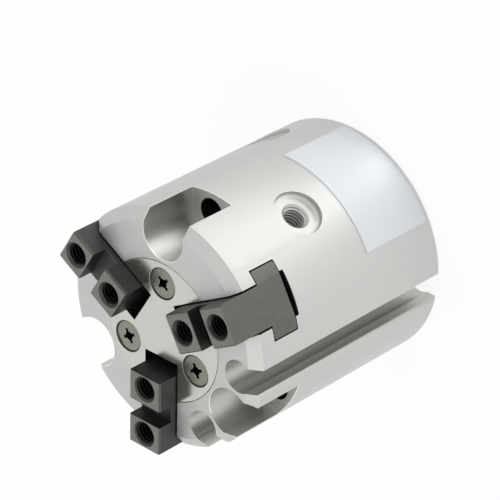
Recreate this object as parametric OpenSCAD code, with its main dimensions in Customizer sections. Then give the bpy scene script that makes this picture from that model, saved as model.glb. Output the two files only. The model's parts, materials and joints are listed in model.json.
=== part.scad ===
// Pneumatic three jaw centric gripper, 16 mm bore, wedge cam drive.
// The origin is the middle of the rear mounting face, +Z points to the jaws and jaw 1 lies along +X.
// Every piece stands where it is with the jaws at joint value 0. A piston stroke moves the wedge cam
// along Z, and its three inclined T-slots pull the jaws in or push them out together.

/* [Body] */
// Outside diameter of the body
body_d = 30; // [29.5:0.5:34]
// Length of the body from the rear face to the front face
body_len = 32; // [31.5:0.5:40]
// Radial width of the chamfer round the front edge
nose_w = 1.4; // [0.4:0.1:2]
// Height of the chamfer round the front edge
nose_h = 1.1; // [0.4:0.1:2]
// Edge break on the rear rim
rear_chamfer = 0.3; // [0.1:0.1:0.8]

/* [Body mounting] */
// Pitch circle of the three mounting holes
mount_pcd = 25; // [24.6:0.1:26]
// Diameter of each mounting hole, also the tapping size of its rear thread
mount_hole_d = 3.4; // [2.6:0.1:4]
// Width of the bolt head recess
recess_w = 6.2; // [5.6:0.1:6.4]
// Depth of the bolt head recess below the front face
recess_depth = 8; // [5:0.5:12]
// Diameter of the rear centring recess
centring_d = 17; // [16.9:0.1:18]
// Depth of the rear centring recess
centring_depth = 1.5; // [1:0.1:1.6]
// Diameter of the rear locating pin hole
pin_d = 2; // [1.5:0.1:2.5]
// Depth of the rear locating pin hole
pin_depth = 2; // [1.5:0.1:4]

/* [Switch grooves] */
// Diameter of the round switch groove
groove_d = 4.2; // [3.6:0.1:4.3]
// Pitch circle of the groove centres
groove_pcd = 24.4; // [24.3:0.1:25.2]
// Width of the groove mouth
groove_mouth = 3.4; // [2.6:0.1:3.5]
// Angle from each groove to the mounting hole between them
groove_angle = 26.2; // [26:0.1:27]
// Rounding of the mouth edge next to that hole
groove_edge_r = 0.5; // [0.2:0.1:0.6]

/* [Air ports] */
// Tapping diameter of the port thread
port_tap_d = 2.5; // [2:0.1:3.3]
// Depth of the port thread below its spot face
port_depth = 4.4; // [3.5:0.1:4.8]
// Diameter of the spot face
spot_d = 6; // [5:0.1:7]
// Depth of the spot face below the outside diameter
spot_depth = 0.9; // [0.6:0.1:1.2]
// Rounding at the foot of the spot face wall
spot_r = 0.4; // [0.2:0.1:0.5]
// Diameter of the passage from the thread to the cylinder
passage_d = 1.5; // [1:0.1:1.6]
// Angle of the port that feeds the front chamber
front_port_angle = 30; // [25:1:35]
// Angle of the port that feeds the rear chamber
rear_port_angle = 90; // [85:1:120]

/* [End plate] */
// Diameter of the end plate
plate_d = 17.8; // [17:0.1:18]
// Thickness of the end plate
plate_t = 1.2; // [1:0.1:1.5]
// Pitch circle of the end plate screws
plate_screw_pcd = 12.5; // [12.2:0.1:12.8]
// Head diameter of the end plate screws
plate_head_d = 3.75; // [3.4:0.05:4]
// Thread diameter of the end plate screws
plate_thread_d = 2; // [1.6:0.1:2]
// Thread engagement of the end plate screws below the plate
plate_thread_len = 1.8; // [1.2:0.1:1.8]

/* [Jaws] */
// Width of the jaw above its T-foot
jaw_w = 4.9; // [4.4:0.1:5]
// Height of the jaw above the front face
pad_h = 2.75; // [2.2:0.05:4]
// Distance from the axis to the inner end of the jaw
jaw_inner_r = 5.07; // [5:0.01:5.4]
// Width of the T-foot
foot_w = 8.24; // [7.8:0.02:8.4]
// Height of the T-foot
foot_h = 3.7; // [3.2:0.1:4]
// Thickness of the body's lips over the T-foot
lip_t = 3.3; // [3.1:0.1:3.6]
// Depth of the dirt relief under the T-foot
relief_depth = 0.55; // [0.3:0.05:0.8]
// Width of the dirt relief under the T-foot
relief_w = 5.4; // [4.6:0.1:6]
// Width of the key groove across the jaw
key_w = 2.2; // [1.8:0.1:2.4]
// Depth of the key groove across the jaw
key_depth = 2; // [1.2:0.1:2.2]
// Length of the outer pad, from the jaw's outer end to the key groove
outer_pad = 3.65; // [3.4:0.05:3.8]
// Tapping diameter of the jaw holes
jaw_tap_d = 2.5; // [2:0.1:2.6]
// Depth of the jaw holes
jaw_tap_depth = 6; // [4:0.1:6.5]
// Distance between the two holes of a jaw
jaw_hole_gap = 6.15; // [6:0.05:6.3]
// Edge break on the jaws
jaw_chamfer = 0.15; // [0.1:0.05:0.25]

/* [Stroke] */
// How far each jaw opens from the rest position
jaw_open = 0.7; // [0.4:0.1:0.8]
// How far each jaw closes from the rest position
jaw_close = 1.3; // [1:0.1:1.3]
// Jaw travel for each millimetre of piston travel
wedge_ratio = 0.8; // [0.75:0.01:0.85]

/* [Wedge cam] */
// Height of the wedge cam
cam_h = 6.8; // [6.4:0.1:7.2]
// Diameter of the cam's lobes
cam_d = 15.4; // [14.6:0.1:15.6]
// Width of each lobe
lobe_w = 4.9; // [4.6:0.1:5]
// Diameter of the hub between the lobes
hub_d = 9.2; // [8.6:0.1:9.3]
// Width of the tongue's neck
tongue_neck_w = 1.6; // [1.4:0.1:1.8]
// Width of the tongue's head
tongue_head_w = 2.8; // [2.6:0.1:2.9]
// Length of the tongue's neck, square to the wedge face
tongue_neck = 0.95; // [0.85:0.05:1.05]
// Thickness of the tongue's head, square to the wedge face
tongue_head = 0.8; // [0.7:0.05:0.85]

/* [Cylinder] */
// Bore of the cylinder
bore_d = 16; // [15.8:0.1:16.2]
// Rod diameter
rod_d = 6; // [5.6:0.1:6.4]
// Thickness of the wall between the cylinder and the cam
wall_t = 3.1; // [3:0.1:3.3]
// Length of the piston's head
piston_len = 6.5; // [6.2:0.1:6.6]
// Width of the piston seal's groove
seal_w = 1.5; // [1.3:0.05:1.6]
// Width of the magnet's groove
magnet_w = 2; // [1.8:0.05:2.1]
// Width of the wear ring's groove
guide_w = 0.8; // [0.6:0.05:0.9]
// Thickness of the rod seal
rod_seal_h = 1.6; // [1.4:0.05:1.7]
// Thickness of the washer that holds the rod seal
support_h = 0.7; // [0.5:0.05:0.7]
// Outside diameter of the rod seal
rod_seal_d = 9.2; // [8.8:0.1:9.6]
// Thickness of the front bumper
front_bumper_t = 1.2; // [1:0.1:1.3]
// Height of the rear bumper above the cap
rear_bumper_h = 1.8; // [1.7:0.1:1.9]
// Depth of the rear bumper's seat in the cap
bumper_seat = 0.5; // [0.3:0.05:0.6]
// Diameter of the cam screw's thread
cam_screw_d = 3; // [2.5:0.1:3]
// Length of the cam screw below its head
cam_screw_len = 16; // [15:0.5:16.5]
// Thickness of the sealing washer under the head
washer_t = 0.4; // [0.3:0.05:0.5]

/* [Rear cap] */
// Thickness of the retaining ring
ring_t = 1; // [0.8:0.05:1.1]
// Body material behind the retaining ring
ring_land = 0.6; // [0.5:0.05:0.7]
// Thickness of the cap's flange
flange_t = 0.8; // [0.6:0.05:0.9]
// Diameter of the cap's flange
flange_d = 16.5; // [16.4:0.05:16.6]
// Section diameter of the cap's O-ring
oring_d = 1.2; // [1:0.05:1.25]

/* [Rating label] */
// Thickness of the label
label_t = 0.1; // [0.05:0.05:0.2]
// Length of the label along the body
label_len = 10.5; // [8:0.5:11]
// Distance from the rear face to the label
label_z = 1; // [0.5:0.1:2]
// Angle at which the label begins
label_from = -0.5; // [-5:0.5:5]
// Angle that the label covers
label_span = 61.5; // [50:0.5:70]

/* [Fits] */
// Gap all round the jaw's neck in its slot, on each side
slot_gap = 0.15; // [0.1:0.01:0.2]
// Gap on each side of the T-foot
foot_gap = 0.1; // [0.05:0.01:0.15]
// Gap above and below the T-foot
lift_gap = 0.05; // [0.03:0.01:0.08]
// Gap between the tongue and the cam's slot
tongue_gap = 0.06; // [0.04:0.01:0.08]
// Gap between the wedge faces of jaw and cam
face_gap = 0.15; // [0.1:0.01:0.2]
// Gap between the cam and the body
cam_gap = 0.2; // [0.15:0.01:0.25]
// Gap left at the ends of the stroke
end_gap = 0.12; // [0.1:0.01:0.2]
// Gap between seals and what slides in them
seal_gap = 0.02; // [0.01:0.01:0.03]
// Gap between turned parts that fit together
turned_gap = 0.05; // [0.03:0.01:0.07]
// Gap between a screw and its hole
thread_gap = 0.05; // [0.03:0.01:0.08]

/* [Hidden] */
$fn = 72;
fine = 144;
eps = 0.01;
// How far a cut runs past the face that it opens
over = 1;

// Directions of the three jaws, and of the mounting holes between them
jaw_angles = [0, 120, 240];
hole_angles = [60, 180, 300];
switch_angle = 300;
// How far each end plate screw's cross is turned from the line out to it
cross_turns = [45, 0, 53];

// Heights, worked out from the front face down to the rear
body_r = body_d / 2;
plate_z = body_len - plate_t;
slot_top = body_len - lip_t;
foot_top = slot_top - lift_gap;
foot_bottom = foot_top - foot_h;
slot_floor = foot_bottom - lift_gap;
relief_z = slot_floor - relief_depth;
jaw_top = body_len + pad_h;
piston_open = jaw_open / wedge_ratio;
piston_close = jaw_close / wedge_ratio;
wedge_angle = atan(wedge_ratio);
cam_top = plate_z - piston_open - end_gap;
cam_bottom = cam_top - cam_h;
wall_top = cam_bottom - piston_close - end_gap;
wall_bottom = wall_top - wall_t;
bumper_face = wall_bottom - front_bumper_t;
piston_front = bumper_face - end_gap - piston_open;
piston_rear = piston_front - piston_len;
rear_bumper_face = piston_rear - piston_close - end_gap;
cap_front = rear_bumper_face - rear_bumper_h;
ring_rear = centring_depth + ring_land;
cap_rear = ring_rear + ring_t;
flange_top = cap_rear + flange_t;
front_port_z = wall_bottom - passage_d / 2 - eps;
rear_port_z = cap_front + passage_d / 2 + turned_gap;

// Widths and radii that fits share
slot_w = jaw_w + 2 * slot_gap;
foot_slot_w = foot_w + 2 * foot_gap;
jaw_outer_r = sqrt(body_r * body_r - jaw_w * jaw_w / 4);
outer_hole_r = jaw_outer_r - outer_pad / 2;
plate_slot_r = jaw_inner_r - jaw_close - end_gap - turned_gap;
wedge_face_r = jaw_inner_r - face_gap / cos(wedge_angle) - wedge_ratio * (cam_top - foot_top);
cavity_d = cam_d + 2 * cam_gap;
hub_bore = hub_d + 2 * cam_gap;
rod_bore = rod_d + 2 * turned_gap;
seal_pocket_d = rod_seal_d + 2 * seal_gap;
seal_pocket_z = wall_top - support_h - rod_seal_h;
ring_groove_d = flange_d + 1;
plate_head_h = (plate_head_d - plate_thread_d) / 2;
plate_head_sink = 0.15;
plate_head_top = body_len - plate_head_sink;

// Seats in the piston, and the cam screw that passes through it
piston_d = bore_d - 0.2;
land = (piston_len - seal_w - magnet_w - guide_w) / 4;
seal_z = piston_front - land - seal_w;
magnet_z = seal_z - land - magnet_w;
guide_z = piston_rear + land;
seal_groove_d = bore_d - 3.4;
magnet_seat = 2;
magnet_groove_d = bore_d - 2 * magnet_seat;
guide_groove_d = bore_d - 1.4;
head_d = 1.83 * cam_screw_d;
head_h = cam_screw_d;
head_sink = 0.3;
head_bore = head_d + 0.5;
head_z = piston_rear + head_sink;
washer_z = head_z + head_h;
screw_seat_z = washer_z + washer_t;
screw_tip_z = washer_z + cam_screw_len;
rear_bumper_inset = 2;
front_bumper_inset = 1.8;
rear_bumper_d = bore_d - 2 * rear_bumper_inset;
front_bumper_d = bore_d - 2 * front_bumper_inset;

// One copy at each jaw, or at each mounting hole
module at_angles(angles) {
    for (a = angles)
        rotate([0, 0, a])
            children();
}

// A tube between two heights
module tube(outer_d, inner_d, z0, z1) {
    translate([0, 0, z0])
        difference() {
            cylinder(d = outer_d, h = z1 - z0);
            translate([0, 0, -eps])
                cylinder(d = inner_d, h = z1 - z0 + 2 * eps);
        }
}

// A block that reaches out along +X, between two radii and two heights
module radial_block(r0, r1, w, z0, z1) {
    translate([r0, -w / 2, z0])
        cube([r1 - r0, w, z1 - z0]);
}

// The wedge face's own frame: X square to the face and outward, Z up along the slope
module on_wedge() {
    translate([wedge_face_r, 0, cam_top])
        rotate([0, -wedge_angle, 0])
            children();
}

// Everything on the inner side of the wedge face, moved out by a gap
module inside_wedge(gap) {
    on_wedge()
        translate([gap - 3 * body_r, -body_r, -2 * body_len])
            cube([3 * body_r, 2 * body_r, 4 * body_len]);
}

// T-section that runs along the wedge face, grown by a gap and reaching out past the face
module wedge_tee(gap, reach) {
    on_wedge()
        translate([0, 0, -body_len])
            linear_extrude(2 * body_len) {
                translate([-tongue_neck - eps, -tongue_neck_w / 2 - gap])
                    square([tongue_neck + eps + reach, tongue_neck_w + 2 * gap]);
                translate([-tongue_neck - tongue_head - gap, -tongue_head_w / 2 - gap])
                    square([tongue_head + 2 * gap, tongue_head_w + 2 * gap]);
            }
}

// Section of one switch groove, centred on +X, with the rounded edge on the side given by +1 or -1
module groove_section(side) {
    half = groove_mouth / 2;
    arc_t = half + groove_edge_r;
    arc_ring = body_r - groove_edge_r;
    arc_x = sqrt(arc_ring * arc_ring - arc_t * arc_t);
    far = (body_r + over) / arc_ring;
    translate([groove_pcd / 2, 0])
        circle(d = groove_d);
    translate([groove_pcd / 2, -half])
        square([body_r, groove_mouth]);
    difference() {
        polygon([[arc_x, 0], [body_r + over, 0], [body_r + over, side * half],
                 [arc_x * far, side * arc_t * far], [arc_x, side * arc_t]]);
        translate([arc_x, side * arc_t])
            circle(r = groove_edge_r);
    }
}

// The extruded section of the body, with the two switch grooves
module body_section() {
    difference() {
        circle(r = body_r, $fn = fine);
        for (side = [-1, 1])
            rotate(switch_angle + side * groove_angle)
                groove_section(-side);
    }
}

// The turned outline of the body, with its nose chamfer and rear edge break
module body_turning() {
    rotate_extrude($fn = fine)
        polygon([[0, 0], [body_r - rear_chamfer, 0], [body_r, rear_chamfer],
                 [body_r, body_len - nose_h], [body_r - nose_w, body_len], [0, body_len]]);
}

// Bolt head recess, open to the side, with its through hole
module mounting_recess() {
    floor_z = body_len - recess_depth;
    edge = 0.4;
    translate([mount_pcd / 2, 0, floor_z]) {
        cylinder(d = recess_w, h = recess_depth + eps);
        translate([0, -recess_w / 2, 0])
            cube([body_r, recess_w, recess_depth + eps]);
    }
    translate([mount_pcd / 2, 0, -eps])
        cylinder(d = mount_hole_d, h = floor_z + 2 * eps);
    translate([mount_pcd / 2, 0, -eps])
        cylinder(d1 = mount_hole_d + 2 * edge, d2 = mount_hole_d, h = edge);
}

// The channel of one jaw: slot for the neck, T-slot for the foot and dirt relief below it
module jaw_channel() {
    radial_block(0, body_d, slot_w, slot_top - eps, body_len + eps);
    radial_block(0, body_d, foot_slot_w, slot_floor, slot_top);
    radial_block(0, body_d, relief_w, relief_z, slot_floor + eps);
}

// An air port along +X: rounded spot face, countersunk thread and passage into the cylinder
module air_port(z) {
    floor_r = body_r - spot_depth;
    thread_end = floor_r - port_depth;
    mouth = 0.5;
    translate([floor_r, 0, z])
        rotate([0, 90, 0])
            rotate_extrude() {
                square([spot_d / 2 - spot_r, spot_depth + over]);
                translate([0, spot_r])
                    square([spot_d / 2, spot_depth + over - spot_r]);
                translate([spot_d / 2 - spot_r, spot_r])
                    circle(r = spot_r);
            }
    translate([thread_end, 0, z])
        rotate([0, 90, 0])
            cylinder(d = port_tap_d, h = port_depth + eps);
    translate([floor_r - mouth, 0, z])
        rotate([0, 90, 0])
            cylinder(d1 = port_tap_d, d2 = port_tap_d + 2 * mouth, h = mouth + eps);
    translate([bore_d / 2 - over, 0, z])
        rotate([0, 90, 0])
            cylinder(d = passage_d, h = thread_end - bore_d / 2 + over + eps);
}

// Everything bored from the rear: centring recess, cap pocket, ring groove and cylinder
module rear_bores() {
    translate([0, 0, -eps])
        cylinder(d = centring_d, h = centring_depth + eps);
    translate([0, 0, centring_depth - eps])
        cylinder(d = flange_d + 2 * turned_gap, h = flange_top - centring_depth + eps);
    translate([0, 0, ring_rear])
        cylinder(d = ring_groove_d, h = ring_t + turned_gap);
    translate([0, 0, flange_top - eps])
        cylinder(d = bore_d, h = wall_bottom - flange_top + eps, $fn = fine);
    translate([mount_pcd / 2, 0, -eps])
        cylinder(d = pin_d, h = pin_depth + eps);
}

// Everything bored from the front: plate seat, hub bore, cam cavity, rod bore and seal pocket
module front_bores() {
    translate([0, 0, plate_z])
        cylinder(d = plate_d + 2 * turned_gap, h = plate_t + eps, $fn = fine);
    translate([0, 0, wall_top])
        cylinder(d = hub_bore, h = body_len - wall_top);
    translate([0, 0, wall_top])
        cylinder(d = cavity_d, h = slot_floor - wall_top);
    translate([0, 0, seal_pocket_z])
        cylinder(d = seal_pocket_d, h = wall_top - seal_pocket_z + eps);
    translate([0, 0, wall_bottom - eps])
        cylinder(d = rod_bore, h = wall_t);
}

module body() {
    color("silver")
        difference() {
            intersection() {
                linear_extrude(body_len)
                    body_section();
                body_turning();
            }
            rear_bores();
            front_bores();
            at_angles(jaw_angles)
                jaw_channel();
            at_angles(hole_angles)
                mounting_recess();
            at_angles(hole_angles)
                translate([plate_screw_pcd / 2, 0, plate_z - plate_thread_len - thread_gap])
                    cylinder(d = plate_thread_d + 2 * thread_gap, h = plate_thread_len + over);
            rotate([0, 0, front_port_angle])
                air_port(front_port_z);
            rotate([0, 0, rear_port_angle])
                air_port(rear_port_z);
        }
}

// Flush stainless plate that keeps the jaws and the cam in, slotted for the jaws
module end_plate() {
    color("gainsboro")
        difference() {
            translate([0, 0, plate_z])
                cylinder(d = plate_d, h = plate_t, $fn = fine);
            at_angles(jaw_angles)
                radial_block(plate_slot_r, body_r, slot_w, plate_z - over, body_len + over);
            at_angles(hole_angles)
                translate([plate_screw_pcd / 2, 0, 0]) {
                    translate([0, 0, plate_z - eps])
                        cylinder(d = plate_thread_d + 2 * thread_gap, h = plate_t + 2 * eps);
                    translate([0, 0, plate_head_top - plate_head_h])
                        cylinder(d1 = plate_thread_d,
                                 d2 = plate_head_d + 2 * (plate_head_sink + eps),
                                 h = plate_head_h + plate_head_sink + eps);
                }
        }
}

// Flat head screw at one of the mounting holes' angles, with its cross recess turned as it was left
module plate_screw(angle, cross_turn) {
    cross_w = 0.5;
    cross_len = 2.4;
    cross_depth = 0.55;
    tip_z = plate_z - plate_thread_len;
    neck_z = plate_head_top - plate_head_h;
    color("lightgray")
        rotate([0, 0, angle])
            translate([plate_screw_pcd / 2, 0, 0])
                difference() {
                    union() {
                        translate([0, 0, tip_z])
                            cylinder(d = plate_thread_d, h = neck_z - tip_z);
                        translate([0, 0, neck_z])
                            cylinder(d1 = plate_thread_d, d2 = plate_head_d, h = plate_head_h);
                    }
                    for (turn = [0, 90])
                        rotate([0, 0, cross_turn + turn])
                            translate([-cross_len / 2, -cross_w / 2, plate_head_top - cross_depth])
                                cube([cross_len, cross_w, over]);
                }
}

// The jaw's section across its travel: T-foot, neck and pad, with broken edges
module jaw_section() {
    half = jaw_w / 2;
    foot = foot_w / 2;
    c = jaw_chamfer;
    right = [[foot - c, foot_bottom], [foot, foot_bottom + c], [foot, foot_top - c],
             [foot - c, foot_top], [half, foot_top], [half, jaw_top - c], [half - c, jaw_top]];
    left = [for (i = [len(right) - 1 : -1 : 0]) [-right[i][0], right[i][1]]];
    polygon(concat(right, left));
}

// A tapped hole with a countersunk mouth, down from the top of a jaw
module jaw_hole(r) {
    mouth = 0.4;
    translate([r, 0, jaw_top - jaw_tap_depth])
        cylinder(d = jaw_tap_d, h = jaw_tap_depth + eps);
    translate([r, 0, jaw_top - mouth])
        cylinder(d1 = jaw_tap_d, d2 = jaw_tap_d + 2 * mouth, h = mouth + eps);
}

// One jaw: pads either side of a key groove, neck, T-foot, and an inclined tongue on its inner end
module jaw(angle) {
    key_r = jaw_outer_r - outer_pad - key_w;
    tongue_root = 0.3;
    color("dimgray")
        rotate([0, 0, angle]) {
            difference() {
                rotate([90, 0, 90])
                    linear_extrude(jaw_outer_r)
                        jaw_section();
                radial_block(-eps, jaw_inner_r, body_d, foot_top, jaw_top + over);
                inside_wedge(face_gap);
                radial_block(key_r, key_r + key_w, body_d, jaw_top - key_depth, jaw_top + over);
                jaw_hole(outer_hole_r);
                jaw_hole(outer_hole_r - jaw_hole_gap);
            }
            intersection() {
                wedge_tee(0, face_gap + tongue_root);
                radial_block(0, body_r, body_d, foot_bottom, foot_top);
            }
        }
}

// Three-lobed cam, with one inclined T-slot in the wedge face of each lobe
module wedge_cam() {
    tip_gap = 0.2;
    color("slategray")
        difference() {
            intersection() {
                union() {
                    at_angles(jaw_angles)
                        radial_block(0, body_r, lobe_w, cam_bottom, cam_top);
                    translate([0, 0, cam_bottom])
                        cylinder(d = hub_d, h = cam_h);
                }
                translate([0, 0, cam_bottom])
                    cylinder(d = cam_d, h = cam_h);
                inside_wedge(0);
                rotate([0, 0, jaw_angles[1]])
                    inside_wedge(0);
                rotate([0, 0, jaw_angles[2]])
                    inside_wedge(0);
            }
            at_angles(jaw_angles)
                wedge_tee(tongue_gap, body_d);
            translate([0, 0, cam_bottom - eps])
                cylinder(d = cam_screw_d + 2 * thread_gap, h = screw_tip_z - cam_bottom + tip_gap);
        }
}

// Socket head screw that draws the cam onto the end of the rod
module cam_screw() {
    socket_w = 2.5;
    socket_depth = 1.3;
    color("dimgray")
        difference() {
            union() {
                translate([0, 0, head_z])
                    cylinder(d = head_d, h = head_h);
                translate([0, 0, washer_z - eps])
                    cylinder(d = cam_screw_d, h = cam_screw_len + eps);
            }
            translate([0, 0, head_z - eps])
                cylinder(d = socket_w / cos(30), h = socket_depth, $fn = 6);
        }
}

module cam_screw_washer() {
    color("peru")
        tube(head_d, cam_screw_d + 2 * thread_gap, washer_z, screw_seat_z);
}

// Piston head and rod, turned from one piece
module piston() {
    color("burlywood")
        difference() {
            union() {
                translate([0, 0, piston_rear])
                    cylinder(d = piston_d, h = piston_len);
                translate([0, 0, piston_front - eps])
                    cylinder(d = rod_d, h = cam_bottom - piston_front + eps);
            }
            tube(bore_d + over, seal_groove_d, seal_z, seal_z + seal_w);
            tube(bore_d + over, magnet_groove_d, magnet_z, magnet_z + magnet_w);
            tube(bore_d + over, guide_groove_d, guide_z, guide_z + guide_w);
            translate([0, 0, piston_rear - eps])
                cylinder(d = head_bore, h = screw_seat_z - piston_rear + eps);
            translate([0, 0, screw_seat_z - eps])
                cylinder(d = cam_screw_d + 2 * thread_gap, h = cam_bottom - screw_seat_z + 2 * eps);
        }
}

// Four-lipped rubber seal: a square ring with a notch in each face
module lip_ring(outer_d, inner_d, z, h) {
    notch = h / 6;
    r0 = inner_d / 2;
    r1 = outer_d / 2;
    mid = (r0 + r1) / 2;
    translate([0, 0, z])
        rotate_extrude()
            polygon([[r0, 0], [mid - notch, 0], [mid, notch], [mid + notch, 0], [r1, 0],
                     [r1, h / 2 - notch], [r1 - notch, h / 2], [r1, h / 2 + notch], [r1, h],
                     [mid + notch, h], [mid, h - notch], [mid - notch, h], [r0, h]]);
}

module piston_seal() {
    color("black")
        lip_ring(bore_d - 2 * seal_gap, seal_groove_d, seal_z + seal_gap, seal_w - 2 * seal_gap);
}

module wear_ring() {
    color("ivory")
        tube(bore_d - 2 * seal_gap, guide_groove_d, guide_z, guide_z + guide_w);
}

module magnet_ring() {
    color("gray")
        tube(piston_d - 0.2, magnet_groove_d, magnet_z, magnet_z + magnet_w);
}

// Rod seal with a waist in its bore, so that it wipes the rod along two lips
module rod_seal() {
    r0 = rod_d / 2 + seal_gap;
    r1 = rod_seal_d / 2;
    lip = rod_seal_h / 4;
    waist = 0.3;
    color("black")
        translate([0, 0, seal_pocket_z])
            rotate_extrude()
                polygon([[r0, 0], [r1, 0], [r1, rod_seal_h], [r0, rod_seal_h],
                         [r0, rod_seal_h - lip], [r0 + waist, rod_seal_h / 2], [r0, lip]]);
}

module seal_support() {
    color("silver")
        tube(rod_seal_d, rod_bore, wall_top - support_h, wall_top);
}

module front_bumper() {
    color("saddlebrown")
        tube(front_bumper_d, rod_d + 1, bumper_face, wall_bottom);
}

module rear_bumper() {
    color("saddlebrown")
        tube(rear_bumper_d, head_bore, cap_front - bumper_seat, rear_bumper_face);
}

// Turned cap: flange against the ring, O-ring groove, and a seat for the bumper
module rear_cap() {
    groove_w = oring_d + 2 * turned_gap;
    groove_z = (flange_top + cap_front - groove_w) / 2;
    spigot_d = bore_d - 2 * turned_gap;
    groove_foot_d = bore_d - 2 * oring_d - 4 * turned_gap;
    color("silver")
        difference() {
            union() {
                translate([0, 0, cap_rear])
                    cylinder(d = flange_d, h = flange_t, $fn = fine);
                translate([0, 0, flange_top - eps])
                    cylinder(d = spigot_d, h = cap_front - flange_top + eps, $fn = fine);
            }
            tube(bore_d + over, groove_foot_d, groove_z, groove_z + groove_w);
            tube(rear_bumper_d + 2 * turned_gap, head_bore - 2 * turned_gap,
                 cap_front - bumper_seat, cap_front + eps);
        }
}

module cap_seal() {
    color("black")
        translate([0, 0, (flange_top + cap_front) / 2])
            rotate_extrude($fn = fine)
                translate([bore_d / 2 - seal_gap - oring_d / 2, 0])
                    circle(d = oring_d, $fn = 24);
}

// Internal C-shaped retaining ring, with a lug and a plier hole either side of its gap
module retaining_ring() {
    outer_d = ring_groove_d - 2 * seal_gap;
    inner_d = outer_d - 2.2;
    lug_d = 2.3;
    plier_d = 1.2;
    lug_angles = [-18, 18];
    lug_r = (outer_d - lug_d) / 2;
    color("dimgray")
        translate([0, 0, ring_rear])
            difference() {
                union() {
                    difference() {
                        cylinder(d = outer_d, h = ring_t, $fn = fine);
                        translate([0, 0, -eps])
                            cylinder(d = inner_d, h = ring_t + 2 * eps);
                        translate([0, 0, -eps])
                            linear_extrude(ring_t + 2 * eps)
                                polygon([[0, 0], [body_r, -body_r / 4], [body_r, body_r / 4]]);
                    }
                    at_angles(lug_angles)
                        translate([lug_r, 0, 0])
                            cylinder(d = lug_d, h = ring_t);
                }
                at_angles(lug_angles)
                    translate([lug_r, 0, -eps])
                        cylinder(d = plier_d, h = ring_t + 2 * eps);
            }
}

// Plain printed film, wrapped round the body between two angles
module rating_label() {
    a0 = label_from;
    a1 = label_from + label_span;
    am = (a0 + a1) / 2;
    far = body_d;
    color("aliceblue")
        intersection() {
            tube(body_d + 2 * label_t, body_d, label_z, label_z + label_len);
            linear_extrude(body_len)
                polygon([[0, 0], [far * cos(a0), far * sin(a0)], [far * cos(am), far * sin(am)],
                         [far * cos(a1), far * sin(a1)]]);
        }
}

body();
end_plate();
plate_screw(hole_angles[0], cross_turns[0]);  // plate_screw_1
plate_screw(hole_angles[1], cross_turns[1]);  // plate_screw_2
plate_screw(hole_angles[2], cross_turns[2]);  // plate_screw_3
jaw(jaw_angles[0]);  // jaw_1
jaw(jaw_angles[1]);  // jaw_2
jaw(jaw_angles[2]);  // jaw_3
wedge_cam();
cam_screw();
cam_screw_washer();
piston();
piston_seal();
wear_ring();
magnet_ring();
rod_seal();
seal_support();
front_bumper();
rear_bumper();
rear_cap();
cap_seal();
retaining_ring();
rating_label();
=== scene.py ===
# %% [markdown]
# # A three jaw air gripper, from bare model to finished metal
#
# The gripper is a small robot hand: a round aluminium body with an air cylinder inside it, and three
# dark steel jaws that slide in and out together. Its engineering model is already exact, so this lesson
# doesn't design it again. It loads that model as a fixed frame, copies the pieces that the eye reads
# closely, softens their edges, cuts their threads, and gives every piece the finish of its real metal.
#
# Everything is in metres, in the frame of the engineering model: the origin is the middle of the rear
# mounting face, +Z points to the jaws and +X runs along the first jaw.

# %% Load the frame
import json
import math

import bpy
from mathutils import Matrix, Vector

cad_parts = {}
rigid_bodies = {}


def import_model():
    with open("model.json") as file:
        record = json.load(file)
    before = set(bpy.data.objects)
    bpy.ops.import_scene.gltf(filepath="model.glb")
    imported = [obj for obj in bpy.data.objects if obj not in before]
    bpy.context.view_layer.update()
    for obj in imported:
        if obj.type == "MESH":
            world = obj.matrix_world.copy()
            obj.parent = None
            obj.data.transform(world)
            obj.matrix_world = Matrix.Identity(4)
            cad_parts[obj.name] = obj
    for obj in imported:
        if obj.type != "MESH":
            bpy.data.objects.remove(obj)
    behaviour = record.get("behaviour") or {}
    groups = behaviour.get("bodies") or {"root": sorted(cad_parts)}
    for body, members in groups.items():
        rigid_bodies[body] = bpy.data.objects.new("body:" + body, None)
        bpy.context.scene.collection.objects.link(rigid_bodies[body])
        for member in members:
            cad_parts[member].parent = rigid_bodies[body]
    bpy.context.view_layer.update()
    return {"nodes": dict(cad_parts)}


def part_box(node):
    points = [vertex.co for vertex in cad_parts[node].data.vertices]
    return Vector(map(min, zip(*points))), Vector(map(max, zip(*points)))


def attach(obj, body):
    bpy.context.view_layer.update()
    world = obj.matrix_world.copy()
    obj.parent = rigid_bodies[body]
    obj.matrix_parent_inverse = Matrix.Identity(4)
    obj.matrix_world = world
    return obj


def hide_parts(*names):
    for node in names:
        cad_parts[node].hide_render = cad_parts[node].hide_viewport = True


for left_over in list(bpy.data.objects):
    bpy.data.objects.remove(left_over)
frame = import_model()
nodes = frame["nodes"]

# %% [markdown]
# ## Real sizes, read from the frame
#
# A lesson like this one goes stale if it repeats the sizes of the model. The boxes of the nodes already
# hold many of them, so the radius of the body, the heights of its faces and the middle of each screw are
# worked out from those boxes. What a box can't tell, such as the circle of the mounting holes or a
# thread's pitch, is typed in with a name, in the cell that needs it first.

# %% Sizes from the frame
MM = 0.001
JAW_ANGLES = [0, 120, 240]

body_low, body_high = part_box("body")
body_r = body_high.x
front_z = body_high.z
jaw_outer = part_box("jaw_1")[1].x
jaw_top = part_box("jaw_1")[1].z


def screw_centre(number):
    """Middle of one end plate screw's head, at the height of the head."""
    low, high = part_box(f"plate_screw_{number}")
    return Vector(((low.x + high.x) / 2, (low.y + high.y) / 2, high.z))


print("body radius %.2f mm, front face at %.2f mm, jaw tops at %.2f mm"
      % (body_r / MM, front_z / MM, jaw_top / MM))

# %% [markdown]
# ## The camera
#
# A long lens stands well back, so that the round body keeps its proportions. It looks down at the end of
# one jaw, and it is rolled until the gripper lies across the frame, jaws to the lower left. A camera is
# placed with three facts: where it stands, what it aims at, and which way is up.

# %% Place the camera
camera_at = Vector((0.27035, 0.05496, 0.24529))
camera_aim = Vector((-0.00067, 0.00351, 0.01467))
camera_up = Vector((0.12387, 0.92757, -0.35252))

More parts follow.
